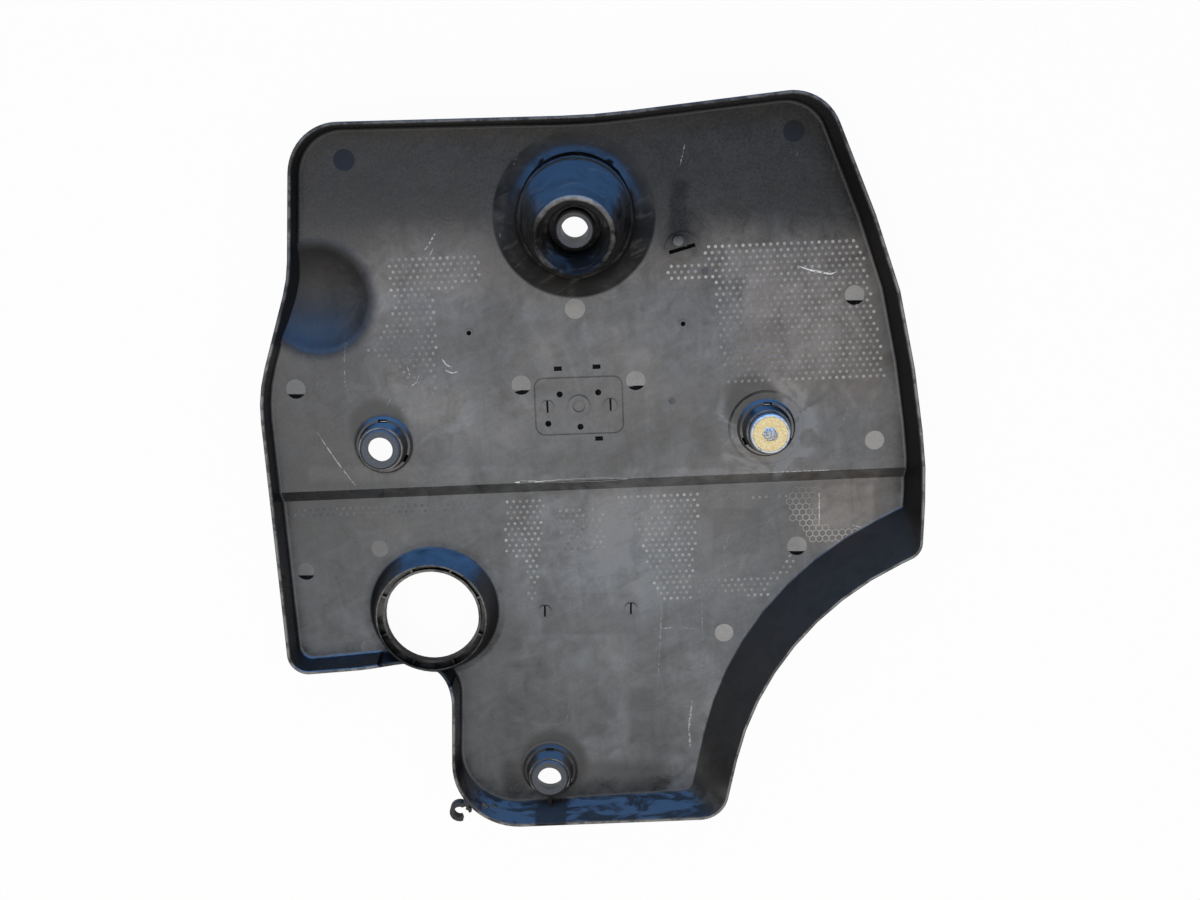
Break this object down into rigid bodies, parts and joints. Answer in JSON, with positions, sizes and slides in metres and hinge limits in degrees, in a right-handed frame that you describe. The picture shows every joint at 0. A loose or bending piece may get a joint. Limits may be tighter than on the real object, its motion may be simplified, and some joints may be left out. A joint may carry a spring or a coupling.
{
  "type": "engine cover",
  "caption": "Black moulded engine cover, inside up, with a centre tower, fixing bosses with rubber bushes and an oil filler collar.",
  "frame": {"origin": "centre of the cover's outline, at the lowest point of its outer face", "axes": "+Z out of the inside of the cover, towards the engine; +Y from the leg towards the tower; +X to the right seen from the inside"},
  "size_m": [0.4654, 0.531, 0.0767],
  "materials": {
    "cover_plastic": "worn satin moulding",
    "bush_rubber": "moulded rubber",
    "sleeve_metal": "dull turned metal",
    "washer_plating": "pale yellow passivated plating",
    "screw_steel": "worn zinc"
  },
  "bodies": {
    "root": {"cover_shell": "cover_plastic", "tower_bush": "bush_rubber", "left_bush": "bush_rubber", "bottom_bush": "bush_rubber", "right_bush": "bush_rubber", "screw_sleeve": "sleeve_metal", "screw_washer": "washer_plating", "captive_screw": "screw_steel"}
  },
  "joints": []
}
